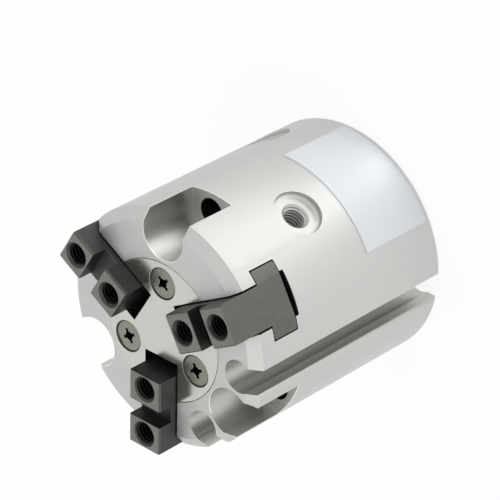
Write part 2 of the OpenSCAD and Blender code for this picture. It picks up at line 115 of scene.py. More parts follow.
camera_data = bpy.data.cameras.new("product_camera")
camera_data.lens = 217.98
camera_data.sensor_width = 36
camera_data.clip_start = 0.01
camera_data.clip_end = 20
camera = bpy.data.objects.new("product_camera", camera_data)
bpy.context.scene.collection.objects.link(camera)

forward = (camera_aim - camera_at).normalized()
side = forward.cross(camera_up).normalized()
upward = side.cross(forward)
camera.matrix_world = Matrix.Translation(camera_at) @ Matrix((side, upward, -forward)).transposed().to_4x4()
bpy.context.scene.camera = camera
print("camera is %.0f mm from the body" % ((camera_aim - camera_at).length / MM))

# %% [markdown]
# ## Colours and nodes
#
# A maker picks colours from a chart, as hex values, and these are written in the curve that screens use.
# A shader wants plain light, so one function straightens them. A second small function adds a node with
# its settings and its links, which keeps each material below short enough to read as a recipe.

# %% Helpers for materials


def colour(hex_value):
    """A hex colour from a chart, as the linear light that a shader takes."""
    channels = [int(hex_value[i:i + 2], 16) / 255 for i in (1, 3, 5)]
    return tuple(c / 12.92 if c <= 0.04045 else ((c + 0.055) / 1.055) ** 2.4 for c in channels) + (1.0,)


def add_node(tree, kind, settings=None, links=None):
    """Adds a node. Settings go to its sockets or properties by name, links come from other sockets."""
    node = tree.nodes.new("ShaderNode" + kind)
    for name, value in (settings or {}).items():
        if name in node.inputs:
            node.inputs[name].default_value = value
        else:
            setattr(node, name, value)
    for name, source in (links or {}).items():
        tree.links.new(source, node.inputs[name])
    return node


def new_material(name):
    """A new material, with its node tree and its shader."""
    made = bpy.data.materials.new(name)
    made.use_nodes = True
    shader = made.node_tree.nodes["Principled BSDF"]
    return made, made.node_tree, shader


print("mid grey #808080 as light: %.3f" % colour("#808080")[0])

# %% [markdown]
# ## Working on one piece at a time
#
# Every piece is edited the way a person would at the screen: select it alone, open it, run an operator,
# close it. Small functions hold those steps. `copy_node` takes a copy of an engineering node, merges the
# doubled points that an exported mesh has, and joins the thin triangles of each flat face into one face,
# because a bevel runs cleanly only along clean faces. The copy then stands in for the node. Two more
# functions tell places apart in millimetres, which is how a drawing gives them.

# %% Helpers for pieces


def select_only(piece):
    """Makes one piece the only selected and active one."""
    bpy.ops.object.select_all(action="DESELECT")
    piece.select_set(True)
    bpy.context.view_layer.objects.active = piece


def open_piece(piece):
    """Opens one piece in edit mode, with all of it selected."""
    select_only(piece)
    bpy.ops.object.mode_set(mode="EDIT")
    bpy.ops.mesh.select_mode(type="VERT")
    bpy.ops.mesh.select_all(action="SELECT")


def apply_modifier(piece, kind, settings):
    """Adds one modifier with its settings, and applies it to the mesh."""
    select_only(piece)
    modifier = piece.modifiers.new(kind.lower(), kind)
    for name, value in settings.items():
        setattr(modifier, name, value)
    bpy.ops.object.modifier_apply(modifier=modifier.name)


def cut(piece, tool, operation="DIFFERENCE"):
    """Cuts a piece with a tool piece, exactly, and puts the tool away."""
    apply_modifier(piece, "BOOLEAN", {"operation": operation, "object": tool, "solver": "EXACT"})
    bpy.data.objects.remove(tool)


def merge_cuts(piece):
    """Merges the doubled points that cuts leave, so that the piece is closed everywhere."""
    open_piece(piece)
    bpy.ops.mesh.remove_doubles(threshold=0.001 * MM)
    bpy.ops.object.mode_set(mode="OBJECT")


def copy_node(name, body):
    """A clean copy of a node's mesh, as the piece that stands in for it."""
    piece = bpy.data.objects.new(name + "_dressed", nodes[name].data.copy())
    bpy.context.scene.collection.objects.link(piece)
    open_piece(piece)
    bpy.ops.mesh.customdata_custom_splitnormals_clear()
    bpy.ops.mesh.remove_doubles(threshold=0.001 * MM)
    bpy.ops.mesh.dissolve_limited(angle_limit=math.radians(0.5))
    bpy.ops.mesh.normals_make_consistent(inside=False)
    bpy.ops.object.mode_set(mode="OBJECT")
    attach(piece, body)
    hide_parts(name)
    return piece


print("helpers that open, cut and copy a piece are ready")

# %% Helpers for edges and finishes


def round_edges(piece, width, edge_finish=0, spared=lambda middle: False):
    """Rounds the sharp edges, but not those whose middle, in mm, is spared. The new faces take a finish."""
    open_piece(piece)
    bpy.ops.mesh.select_mode(type="EDGE")
    bpy.ops.mesh.select_all(action="DESELECT")
    bpy.ops.mesh.edges_select_sharp(sharpness=math.radians(30))
    bpy.ops.transform.edge_bevelweight(value=1)
    bpy.ops.object.mode_set(mode="OBJECT")
    weights = piece.data.attributes["bevel_weight_edge"].data
    for edge in piece.data.edges:
        start, end = [piece.data.vertices[i].co for i in edge.vertices]
        if spared((start + end) / 2 / MM):
            weights[edge.index].value = 0
    apply_modifier(piece, "BEVEL", {"width": width, "segments": 2, "limit_method": "WEIGHT",
                                    "use_clamp_overlap": False, "miter_outer": "MITER_ARC",
                                    "material": edge_finish})


def smooth(piece):
    """Shades gentle bends smooth, keeps the corners crisp, and lets the large faces lead the shading."""
    select_only(piece)
    bpy.ops.object.shade_smooth_by_angle(angle=math.radians(35))
    apply_modifier(piece, "WEIGHTED_NORMAL", {"mode": "FACE_AREA", "weight": 100, "keep_sharp": True})


def give_finishes(piece, finishes):
    """Puts a list of materials on a piece, in order."""
    piece.data.materials.clear()
    for made in finishes:
        piece.data.materials.append(made)


def paint(piece, number, wanted):
    """Gives a numbered finish to every face whose middle, direction and present finish a test wants."""
    painted = 0
    for face in piece.data.polygons:
        if wanted(face.center / MM, face.normal, face.material_index):
            face.material_index = number
            painted += 1
    return painted


print("helpers that round, smooth and paint a piece are ready")

# %% Helpers for places


def flat_point(radius, angle, aside=0):
    """A point in the XY plane, in mm: out along an angle, then aside to its left."""
    a = math.radians(angle)
    return Vector((radius * math.cos(a) - aside * math.sin(a), radius * math.sin(a) + aside * math.cos(a)))


def nearest(point, places):
    """Distance in the XY plane from a point to the nearest of some places."""
    return min((point.xy - place).length for place in places)


# %% [markdown]
# ## One recipe for the finishes
#
# Machined parts differ less in colour than in texture. A finish could be drawn from scratch each time, but
# it is easier to compare them when each is the same recipe with its own numbers: the size of the grain in
# millimetres, how deep the grain is, how much the tint and the roughness vary, and which way the grain
# runs. A fine noise makes the grain, and a broad one the cloudiness that every real surface has. What is
# the same all over, such as metallic, goes straight on the shader.

# %% The recipe


def finish(name, tint, metallic, roughness, grain, depth,
           spread=0.05, uneven=0.04, run=(1, 1, 1), cloud=14):
    """A finish. grain and depth are in mm, spread and uneven say how much tint and roughness vary."""
    made, tree, shader = new_material(name)
    shader.inputs["Metallic"].default_value = metallic
    place = add_node(tree, "TexCoord")
    along = add_node(tree, "Mapping", {"Scale": run}, {"Vector": place.outputs["Object"]})
    fine = add_node(tree, "TexNoise", {"Scale": 1 / (grain * MM), "Detail": 2.0, "Roughness": 0.6},
                    {"Vector": along.outputs["Vector"]})
    broad = add_node(tree, "TexNoise", {"Scale": 1 / (cloud * grain * MM), "Detail": 3.0},
                     {"Vector": along.outputs["Vector"]})
    both = add_node(tree, "Math", {"operation": "ADD"})
    tree.links.new(fine.outputs["Fac"], both.inputs[0])
    tree.links.new(broad.outputs["Fac"], both.inputs[1])
    share = add_node(tree, "MapRange", {"From Min": 0.7, "From Max": 1.3}, {"Value": both.outputs[0]})
    tone = add_node(tree, "Mix", {"data_type": "RGBA"})
    tree.links.new(share.outputs["Result"], tone.inputs[0])
    light = colour(tint)
    tone.inputs[6].default_value = [c * (1 - spread) for c in light[:3]] + [1]
    tone.inputs[7].default_value = [min(1, c * (1 + spread)) for c in light[:3]] + [1]
    tree.links.new(tone.outputs[2], shader.inputs["Base Color"])
    rough = add_node(tree, "MapRange", {"From Min": 0.3, "From Max": 0.7, "To Min": roughness - uneven,
                                        "To Max": roughness + uneven}, {"Value": broad.outputs["Fac"]})
    tree.links.new(rough.outputs["Result"], shader.inputs["Roughness"])
    bump = add_node(tree, "Bump", {"Strength": 1.0, "Distance": depth * MM},
                    {"Height": fine.outputs["Fac"]})
    tree.links.new(bump.outputs["Normal"], shader.inputs["Normal"])
    return made


print("materials before the first finish:", len(bpy.data.materials))

# %% [markdown]
# ## Finishes of the aluminium body
#
# The body is turned and milled from bar, blasted with fine beads, and anodised clear. Blasting leaves
# dimples of about a tenth of a millimetre, which spread a reflection wide: the eye sees a soft silvery
# white with no mirror in it. The pockets and grooves are milled and keep a closer sheen, and their tint is
# darker as painted shade. The rounded mouths are painted as thin bright lines, a painted highlight. The jaw
# slots and the deep holes are painted almost black as painted shade.

# %% Aluminium finishes
# Bead blasting: dimples of a tenth of a millimetre give the eye an even, soft silver with no mirror in it.
blasted = finish("bead_blasted_anodised_aluminium", "#CCCCCA", metallic=1, roughness=0.57,
                 grain=0.12, depth=0.004, spread=0.03, uneven=0.03)

# End milling: fine marks that run up the wall give a closer sheen, and the tint is darker as painted shade
# in the pockets. The real ones are about
# 0.02 mm apart. They are drawn at 0.06 mm, or they wouldn't show.
milled_and_shaded = finish("end_milled_aluminium_painted_shade", "#C3C4BF", metallic=1, roughness=0.42,
                grain=0.06, depth=0.0015, run=(1, 1, 0.2))

# Spot facing: a flat cut disc, slightly smoother than the blasted skin round it. The cutter's marks are
# drawn coarser than the real 0.02 mm too.
spot_faced = finish("spot_faced_aluminium", "#C6C6C4", metallic=1, roughness=0.5,
                    grain=0.06, depth=0.001, spread=0.03)

# The rounding along a mouth, painted as a thin bright line: a painted highlight.
edge_highlight = finish("aluminium_edge_painted_highlight", "#F0F0EC", metallic=1, roughness=0.38,
                     grain=0.12, depth=0.002, spread=0.02)

# Painted shade in the jaw slots and deep holes: almost black, in uneven patches of a few tenths of a
# millimetre.
painted_slot_shade = finish("slot_wall_painted_shade", "#1B1A19", metallic=0, roughness=0.35,
                 grain=0.3, depth=0.01, spread=0.3, uneven=0.08)
print("aluminium finishes:", [made.name for made in (blasted, milled_and_shaded, spot_faced, edge_highlight, painted_slot_shade)])

# %% [markdown]
# ## Finishes of the steel parts
#
# The end plate is stainless steel, ground until it mirrors the jaws, with a slight blur from the wheel's
# fine scratches. Its countersinks stay dark at the bottom of a narrow gap. The screws are cold formed, so
# their heads are duller and a little mottled, and their crosses are painted black as painted shade. The
# jaws are hardened dark steel, painted as lit and shaded copies: the sides darker as painted shade, the
# ground pads that face up lighter as painted light, and the turned outer ends between the two. The stoned
# edges have the ends' tone as a painted highlight, and the tapped holes are painted nearly black as painted
# shade.

# %% Steel finishes
# Surface grinding: a mirror with a slight blur. The wheel's scratches are a hundredth of a millimetre
# wide. They are drawn at 0.05 mm, so that they break the mirror up a little.
ground_plate = finish("ground_stainless_plate", "#CCCBC5", metallic=1, roughness=0.2,
                      grain=0.05, depth=0.0004, spread=0.03, uneven=0.03, cloud=40)

# The same steel at the bottom of a narrow gap, where little light comes in: a dark ring.
dark_gap = finish("shadowed_countersink_steel", "#3A3934", metallic=1, roughness=0.4,
                  grain=0.1, depth=0.002, spread=0.15, uneven=0.08)

# Cold forming: a dull grey head with a faint mottle, from the skin of the wire it was pressed from.
formed_screw = finish("cold_formed_stainless_screw", "#8E8D84", metallic=1, roughness=0.3,
                      grain=0.15, depth=0.006, spread=0.12, uneven=0.08)

# Painted shade in a pressed cross recess: black, with a faint glint.
cross_recess_shade = finish("cross_recess_painted_shade", "#191817", metallic=1, roughness=0.4,
                      grain=0.1, depth=0.002, spread=0.2, uneven=0.08)

# Dark hardened steel, painted darker on the sides and undersides as painted shade: matt, of uneven depth.
jaw_side_shade = finish("jaw_steel_painted_side_shade", "#4E4D4C", metallic=1, roughness=0.5,
                  grain=0.1, depth=0.003, spread=0.12, uneven=0.06)

# The ground pads: a lighter grey that shines a little, painted lighter as lit faces that look up. The real
# scratches are finer than the 0.1 mm drawn here.
jaw_lit_pad = finish("ground_jaw_pad_painted_light", "#7B7A77", metallic=1, roughness=0.32,
                    grain=0.1, depth=0.002, spread=0.08, uneven=0.05)

# The turned outer ends, and the stoned edges: a grey between the two, painted as lit ends and as edge
# highlights.
jaw_lit_end_and_edge = finish("turned_jaw_end_painted_light", "#686764", metallic=1, roughness=0.36,
                    grain=0.08, depth=0.002, spread=0.1, uneven=0.06)

# Painted shade in a tapped hole: nearly black, with the crests just showing.
jaw_thread_shade = finish("jaw_thread_painted_shade", "#2E2D2C", metallic=1, roughness=0.4,
                    grain=0.1, depth=0.002, spread=0.15, uneven=0.06)
print("steel finishes:", [made.name for made in (ground_plate, dark_gap, formed_screw, cross_recess_shade)],
      [made.name for made in (jaw_side_shade, jaw_lit_pad, jaw_lit_end_and_edge, jaw_thread_shade)])

# %% [markdown]
# ## Threads that are really cut
#
# Each tapped hole is drilled to its tapping size in the engineering model, and a tap then cuts a helical
# groove into that wall. A thread could be faked with a bump, but then the mouth of the hole stays a clean
# circle, and the eye notices. So it is cut: a six-sided ring of wire is wound down by one pitch for each
# turn with the Screw modifier, the coil's two ends are closed, and the coil is taken away from the metal.
# It starts half a pitch above the mouth, so that the first thread runs out in the countersink.

# %% The tap
PITCH = 0.5 * MM
ROOT_R = 1.5 * MM
WIRE_R = 0.2 * MM
WIRE_SIDES = 6
TURN_STEPS = 24


def tap(piece, mouth, inward, depth):
    """Cuts an M3 thread into a piece, from a mouth point inward, to a depth."""
    bpy.ops.object.select_all(action="DESELECT")
    bpy.ops.mesh.primitive_circle_add(vertices=WIRE_SIDES, radius=WIRE_R, rotation=(math.pi / 2, 0, 0),
                                      location=(ROOT_R - WIRE_R, 0, 0))
    coil = bpy.context.object
    bpy.ops.object.transform_apply(location=True, rotation=True, scale=True)
    apply_modifier(coil, "SCREW", {"axis": "Z", "angle": 2 * math.pi, "screw_offset": -PITCH,
                                   "iterations": round(depth / PITCH),
                                   "steps": TURN_STEPS, "render_steps": TURN_STEPS})
    open_piece(coil)
    bpy.ops.mesh.select_all(action="DESELECT")
    bpy.ops.mesh.select_non_manifold()
    bpy.ops.mesh.edge_face_add()
    bpy.ops.mesh.select_all(action="SELECT")
    bpy.ops.mesh.normals_make_consistent(inside=False)
    bpy.ops.object.mode_set(mode="OBJECT")
    turn = Vector((0, 0, -1)).rotation_difference(inward).to_matrix().to_4x4()
    coil.data.transform(Matrix.Translation(mouth - inward * PITCH / 2) @ turn)
    cut(piece, coil)


print("M3 tap: pitch %.1f mm, root radius %.2f mm" % (PITCH / MM, ROOT_R / MM))

# %% [markdown]
# ## The three jaws
#
# Each jaw is a bar with a T foot that slides in the body, and two raised pads with tapped holes where the
# user's fingers are screwed on. Its shape is right in the engineering model, so it is copied. Three things
# are added that a hand would feel: edges broken with a stone, the threads in the two holes, and the outer
# end of the foot turned to the same radius as the body, so that it lies flush. All three jaws are alike,
# so one is worked on and two copies of it are turned into place.

# %% Places on a jaw
OUTER_PAD = 3.65 * MM
HOLE_GAP = 6.15 * MM
THREAD_DEPTH = 5.5 * MM
STONED_EDGE = 0.06 * MM

outer_hole = jaw_outer - OUTER_PAD / 2
hole_radii = [outer_hole, outer_hole - HOLE_GAP]
hole_places = [flat_point(radius / MM, angle) for angle in JAW_ANGLES for radius in hole_radii]


def turn_flush(piece):
    """Takes away whatever stands outside the round body, as a lathe would."""
    bpy.ops.object.select_all(action="DESELECT")
    bpy.ops.mesh.primitive_cylinder_add(vertices=256, radius=body_r, depth=2 * jaw_top,
                                        location=(0, 0, jaw_top))
    blank = bpy.context.object
    bpy.ops.object.transform_apply(location=True, rotation=False, scale=False)
    cut(piece, blank, "INTERSECT")


def is_lit_pad(point, normal, number):
    """The pads that carry the fingers, which face up and take the lighter finish as painted light."""
    return number == 0 and point.z > jaw_top / MM - 0.2 and normal.z > 0.9


def is_lit_end(point, normal, number):
    """The outer end of a jaw, which takes the grey between the two as painted light."""
    outward = normal.xy.length > 0.9 and normal.xy.normalized().dot(point.xy.normalized()) > 0.9
    return number == 0 and outward and point.xy.length > 14


def is_shaded_thread(point, normal, number):
    """The threads, below the countersunk mouth of a hole, painted nearly black as painted shade."""
    return point.z < jaw_top / MM - 0.3 and nearest(point, hole_places) < 1.6 and normal.z > -0.95


def near_hole(middle):
    """The edges of the countersunk mouths, which stay as the countersink left them."""
    return nearest(middle, hole_places) < 1.9


print("jaw holes at %.2f and %.2f mm from the axis" % tuple(radius / MM for radius in hole_radii))

# %% One jaw
pattern_angle = JAW_ANGLES[1]
out = flat_point(1, pattern_angle).to_3d()
pattern = copy_node("jaw_2", "jaw_2")
# The jaw's finishes are painted light and shade: dark sides, lighter pads, ends and edges, and black
# threads.
give_finishes(pattern, [jaw_side_shade, jaw_lit_pad, jaw_lit_end_and_edge, jaw_thread_shade])
# The stoned edges take finish 2, as a painted highlight.
round_edges(pattern, STONED_EDGE, 2, near_hole)
turn_flush(pattern)
for radius in hole_radii:
    tap(pattern, out * radius + Vector((0, 0, jaw_top)), Vector((0, 0, -1)), THREAD_DEPTH)
merge_cuts(pattern)
for finish_number, wanted in ((1, is_lit_pad), (2, is_lit_end), (3, is_shaded_thread)):
    print(wanted.__name__, paint(pattern, finish_number, wanted), "faces")

# %% Its two copies
for number in (1, 3):
    jaw = bpy.data.objects.new(f"jaw_{number}_dressed", pattern.data.copy())
    bpy.context.scene.collection.objects.link(jaw)
    jaw.data.transform(Matrix.Rotation(math.radians(JAW_ANGLES[number - 1] - pattern_angle), 4, "Z"))
    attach(jaw, f"jaw_{number}")
    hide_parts(f"jaw_{number}")
    smooth(jaw)
    print(jaw.name, len(jaw.data.polygons), "faces")
smooth(pattern)

# %% [markdown]
# ## The body, and which of its edges may be rounded
#
# The body is one block: the round outside with its short conical nose, three mounting pockets, two round
# grooves for position switches, three T slots for the jaws and two air ports. A copy keeps all of that. A
# real edge is never quite sharp, and a thin rounding is what catches the light along a pocket's mouth. But
# in a few places two cuts come so close that the wall between them is thinner than two roundings, and a
# bevel there would fold over itself. Those edges are found by their place and are left as the cutter left
# them.

# %% Places on the body
NOSE_W, NOSE_H = 1.4, 1.1
MOUNT_R, MOUNT_ANGLES = 12.5, (60, 180, 300)
GROOVE_R, GROOVE_HALF, GROOVE_MOUTH_HALF = 12.2, 2.1, 1.7
GROOVE_ANGLES = (300 - 26.2, 300 + 26.2)
BORES_R = 9.6

outside, front, rear = body_r / MM, front_z / MM, body_low.z / MM
mount_holes = [flat_point(MOUNT_R, angle) for angle in MOUNT_ANGLES]
groove_middles = [flat_point(GROOVE_R, angle) for angle in GROOVE_ANGLES]
corner_r = GROOVE_R + math.sqrt(GROOVE_HALF ** 2 - GROOVE_MOUTH_HALF ** 2)
groove_corners = [flat_point(corner_r, angle, side * GROOVE_MOUTH_HALF)
                  for angle in GROOVE_ANGLES for side in (-1, 1)]


def on_nose_ring(middle):
    """The two turned rings of the nose, which blasting softens without showing a bevel."""
    at_front = middle.z > front - 0.02 and abs(middle.xy.length - outside + NOSE_W) < 0.1
    at_side = abs(middle.z - front + NOSE_H) < 0.02 and middle.xy.length > outside - 0.2
    return at_front or at_side


def too_thin(middle):
    """Edges on the nose's rings, deep inside, or beside walls that are thinner than two roundings."""
    if on_nose_ring(middle) or (middle.xy.length < BORES_R and rear + 0.1 < middle.z < front - 0.1):
        return True
    at_corner = nearest(middle, groove_corners)
    if at_corner < 0.35 or (at_corner < 1.8 and middle.z > front - NOSE_H - 0.1):
        return True
    if middle.z > front - 0.1:
        return nearest(middle, groove_middles) < 2.75
    at_rear = middle.z < rear + 0.02
    return at_rear and (middle.xy.length > outside - 0.5 or nearest(middle, mount_holes) < 2.2)


print("groove corners on a circle of %.2f mm" % corner_r)

# %% The body's copy, its rounded edges and its tapped ports
ROUNDED = 0.08 * MM
SPOT_DEPTH = 0.9 * MM
PORT_THREAD = 4 * MM
port_axes = [(30, 17.4 * MM), (90, 6.72 * MM)]

body = copy_node("body", "housing")
give_finishes(body, [blasted, edge_highlight, milled_and_shaded, painted_slot_shade, spot_faced])
# The new edge faces take finish 1, which is a painted highlight.
round_edges(body, ROUNDED, 1, too_thin)
for angle, height in port_axes:
    out = flat_point(1, angle).to_3d()
    tap(body, out * (body_r - SPOT_DEPTH) + Vector((0, 0, height)), -out, PORT_THREAD)
merge_cuts(body)
print(body.name, len(body.data.polygons), "faces")

# %% [markdown]
# ## One block, five finishes
#
# All five finishes are on one mesh, so each face is told which it has by where it lies: the outside is
# blasted, what a milling cutter reached is milled and a little darker as painted shade, the discs round the
# ports are spot faced, the rounded mouths carry the painted highlight, and the jaw slots and the deep holes
# are painted almost black as painted shade. A jaw slot is wide below, where the jaw's foot runs, and narrow
# above, between the lips. The sizes below are a little larger than the slot, so that its walls fall inside.

# %% How far a point is from a slot, a port or the outside
SLOT_BOTTOM, LIP_BOTTOM = 24.1, 28.75
SLOT_WIDE_HALF, SLOT_NARROW_HALF = 4.45, 2.75
FAR = 99


def across_jaw(point):
    """Distance of a point from the middle plane of the jaw slot on its side of the axis, in mm."""
    for angle in JAW_ANGLES:
        along = flat_point(1, angle)
        if point.xy.dot(along) > 0.5 * point.xy.length:
            return abs(point.x * along.y - point.y * along.x)
    return FAR


def port_distance(point):
    """Distance of a point from the axis of the nearer port, in mm."""
    best = FAR
    for angle, height in port_axes:
        out = flat_point(1, angle)
        if point.xy.dot(out) > 9:
            best = min(best, math.hypot(point.x * out.y - point.y * out.x, point.z - height / MM))
    return best


def off_nose(point):
    """How far a point is from the cone of the nose, as a share of the nose's size."""
    return abs((outside - point.xy.length) / NOSE_W + (front - point.z) / NOSE_H - 1)


def on_outside(point):
    """True on the round outside, the nose and the two flat ends."""
    at_side = point.xy.length > outside - 0.07
    return at_side or point.z > front - 0.05 or point.z < rear + 0.35 or off_nose(point) < 0.06


print("slots are wide up to %.2f mm and narrow above" % LIP_BOTTOM)

# %% Which face has which finish


def is_inner_edge(point, normal, number):
    """Rounded corners deep in a pocket, which take the milled finish and no painted highlight."""
    at_side = point.xy.length > outside - 0.25
    near_mouth = at_side or point.z > front - 0.2 or off_nose(point) < 0.2 or point.z < rear + 0.4
    return number == 1 and not near_mouth


def is_milled(point, normal, number):
    """All that a cutter opened: pockets, grooves, slots and holes, tinted darker as painted shade."""
    return number == 0 and not on_outside(point)


def is_spot_face(point, normal, number):
    """The disc round a port, and its edge."""
    return number in (1, 2) and port_distance(point) < 3.2 and point.xy.length > 11


def is_shaded_slot_or_hole(point, normal, number):
    """The walls of the jaw slots, and the walls of the mounting holes, painted almost black as painted
    shade.
    """
    if point.z < SLOT_BOTTOM:
        in_hole = nearest(point, mount_holes) < 1.9 and point.z > rear + 0.5 and abs(normal.z) < 0.5
        return number == 2 and in_hole
    if on_outside(point):
        return False
    return across_jaw(point) < (SLOT_WIDE_HALF if point.z < LIP_BOTTOM else SLOT_NARROW_HALF)


def is_shaded_slot_mouth(point, normal, number):
    """The broken edge round the mouth of a jaw slot, painted dark as part of the slot's painted shade."""
    half = SLOT_WIDE_HALF + 0.35 if point.z < LIP_BOTTOM + 0.1 else SLOT_NARROW_HALF + 0.25
    at_side = point.z > SLOT_BOTTOM - 0.2 and point.xy.length > outside - 0.3
    return number == 1 and at_side and across_jaw(point) < half


# Finish 2 is milled and darker as painted shade, and finish 3 is painted shade in the slots and holes.
for number, wanted in ((2, is_inner_edge), (2, is_milled), (4, is_spot_face),
                       (3, is_shaded_slot_or_hole), (3, is_shaded_slot_mouth)):
    print(wanted.__name__, paint(body, number, wanted), "faces")
smooth(body)

# %% [markdown]
# ## The end plate
#
# A round plate closes the front between the jaws, and three countersunk screws hold it. The plate's copy
# needs only a fine rounding, and a darker finish inside the countersinks, where the narrow ring between
# the plate and each screw's head lies in shadow.

# %% Plate
PLATE_EDGE = 0.06 * MM
COUNTERSINK_R = 2.1

plate = copy_node("end_plate", "housing")
give_finishes(plate, [ground_plate, dark_gap])
round_edges(plate, PLATE_EDGE)
screw_centres = [screw_centre(number) for number in (1, 2, 3)]
screw_places = [centre.xy / MM for centre in screw_centres]


def in_countersink(point, normal, number):
    """The sloping wall round a screw, but not the flat of the plate."""
    return nearest(point, screw_places) < COUNTERSINK_R and abs(normal.z) < 0.95


print("countersink faces:", paint(plate, 1, in_countersink), "of", len(plate.data.polygons))
smooth(plate)

# %% [markdown]
# ## The plate screws
#
# A countersunk screw is a cone on a shank, with a cross recess pressed into its flat. The engineering
# model has a plain cross. The pressed one is worth modelling, because three of them face the viewer: its
# blades narrow and taper toward the bottom, and a small cone joins them in the middle. The head starts as
# a cone, its underside is extruded into the shank, and the recess is cut by two tapered blades and a cone.
# Each screw stops where its thread happens to bite, so the three crosses are turned differently.

# %% Screw helpers
HEAD_R = 1.875 * MM
SHANK_R = 1.0 * MM
SHANK_LONG = 2 * MM
HEAD_EDGE = 0.07 * MM
BLADE = (2.36 * MM, 0.46 * MM, 1.4 * MM)
BLADE_TAPER = (0.55, 0.7)
CONE_LOW_R, CONE_HIGH_R, CONE_LONG = 0.3 * MM, 0.62 * MM, 1.2 * MM


def lone_primitive(add, **settings):
    """Adds one primitive with nothing else selected, and applies its place."""
    bpy.ops.object.select_all(action="DESELECT")
    add(**settings)
    piece = bpy.context.object
    bpy.ops.object.transform_apply(location=True, rotation=True, scale=True)
    return piece


def make_head():
    """The head's cone with its shank extruded below, its flat at z = 0."""
    head_h = HEAD_R - SHANK_R
    screw = lone_primitive(bpy.ops.mesh.primitive_cone_add, vertices=48, radius1=SHANK_R, radius2=HEAD_R,
                           depth=head_h, location=(0, 0, -head_h / 2))
    for face in screw.data.polygons:
        face.select = face.normal.z < -0.9
    bpy.ops.object.mode_set(mode="EDIT")
    bpy.ops.mesh.select_mode(type="FACE")
    bpy.ops.mesh.extrude_region_move(TRANSFORM_OT_translate={"value": (0, 0, -SHANK_LONG)})
    bpy.ops.object.mode_set(mode="OBJECT")
    return screw


def recess_tools(turned):
    """Two tapered blades and the middle cone, turned about the screw's axis."""
    blades = []
    for blade in (0, 90):
        tool = lone_primitive(bpy.ops.mesh.primitive_cube_add, size=1, scale=BLADE,
                              location=(0, 0, -0.1 * MM))
        for corner in tool.data.vertices:
            if corner.co.z < 0:
                corner.co.x *= BLADE_TAPER[0]
                corner.co.y *= BLADE_TAPER[1]
        tool.data.transform(Matrix.Rotation(math.radians(turned + blade), 4, "Z"))
        blades.append(tool)
    middle = lone_primitive(bpy.ops.mesh.primitive_cone_add, vertices=12, radius1=CONE_LOW_R,
                            radius2=CONE_HIGH_R, depth=CONE_LONG, location=(0, 0, -0.4 * MM))
    return blades + [middle]


print("screw head %.2f mm across" % (2 * HEAD_R / MM))

# %% Screws
CROSS_TURNS = {1: 15, 2: 0, 3: -7}
for number, turned in CROSS_TURNS.items():
    screw = make_head()
    screw.name = f"plate_screw_{number}_dressed"
    give_finishes(screw, [formed_screw, cross_recess_shade])
    round_edges(screw, HEAD_EDGE)
    # The recess is cut with tools whose faces carry finish 1, the painted shade in the cross.
    for tool in recess_tools(turned):
        give_finishes(tool, [formed_screw, cross_recess_shade])
        for face in tool.data.polygons:
            face.material_index = 1
        cut(screw, tool)
    screw.data.transform(Matrix.Translation(screw_centres[number - 1]))
    smooth(screw)
    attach(screw, "housing")
    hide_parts(f"plate_screw_{number}")
    print(screw.name, len(screw.data.polygons), "faces")

# %% [markdown]
# ## The label, and the parts inside
#
# The rest of the parts keep the meshes of the engineering model and only get their finishes. The label is
# a bare polyester film. The cam and its screw drive the jaws and can be seen only through the gaps beside
# them. The piston is turned, so its grain runs round the axis: the noise is squeezed along Z.

# %% Label and drive


def dress(name, made):
    """Gives a carried part its finish."""
    nodes[name].data.materials[0] = made
    print(name, "is", made.name)


# Film: smooth and slightly blue, a soft sheen with the faint unevenness of the glue under it.
dress("rating_label", finish("bare_polyester_label", "#CFD2D5", metallic=0, roughness=0.45,
                             grain=0.2, depth=0.001, spread=0.01))

# Hardened and wiped with oil: a brownish grey that still mirrors a little.
dress("wedge_cam", finish("hardened_cam_steel", "#5B5955", metallic=1, roughness=0.35,
                          grain=0.15, depth=0.003))

# Black oxide: nearly black, with a dull metal glint on the edges.
dress("cam_screw", finish("black_oxide_screw_steel", "#2B2A2A", metallic=1, roughness=0.45,
                          grain=0.1, depth=0.002))

# Annealed copper: a warm pink that no other part has.
dress("cam_screw_washer", finish("copper_sealing_washer", "#C98A5E", metallic=1, roughness=0.3,
                                 grain=0.1, depth=0.002))

# Turning: bright rings. The real ones are 0.05 mm apart, and 0.1 mm still reads as turned.
dress("piston", finish("turned_aluminium_piston", "#C6C6C4", metallic=1, roughness=0.3,
                       grain=0.3, depth=0.002, run=(0.1, 0.1, 3)))

# %% [markdown]
# ## Seals, bumpers and the rear
#
# Nitrile rubber is black and matt, with a faint bloom. A filled plastic ring guides the piston, and a
# bonded magnet on it trips a switch in one of the grooves. Cast urethane stops are the colour of honey.
# At the rear, a turned and clear anodised cap is held by a spring ring with a dark phosphate skin.

# %% Seals and stops
# Moulded rubber: soft and black, with a wide weak highlight and no glint. The three differ by a shade.
dress("piston_seal", finish("moulded_nitrile_piston_seal", "#1A1A1B", metallic=0, roughness=0.6,
                            grain=0.1, depth=0.002))
dress("rod_seal", finish("moulded_nitrile_rod_seal", "#1C1C1D", metallic=0, roughness=0.6,
                         grain=0.1, depth=0.002))
dress("cap_seal", finish("moulded_nitrile_ring", "#19191A", metallic=0, roughness=0.55,
                         grain=0.1, depth=0.002))

# Filled plastic: a flat brown, from the bronze powder in it.
dress("wear_ring", finish("filled_plastic_wear_ring", "#8A5A34", metallic=0, roughness=0.5,
                          grain=0.1, depth=0.002))

# Ferrite powder in a binder: dark grey, with the fine roughness of pressed powder.
dress("magnet_ring", finish("bonded_ferrite_magnet", "#2E2D2C", metallic=0, roughness=0.55,
                            grain=0.1, depth=0.003))

# Stamped from bright sheet: the cleanest mirror inside.
dress("seal_support", finish("stamped_stainless_washer", "#C3C2BE", metallic=1, roughness=0.25,
                             grain=0.1, depth=0.001))

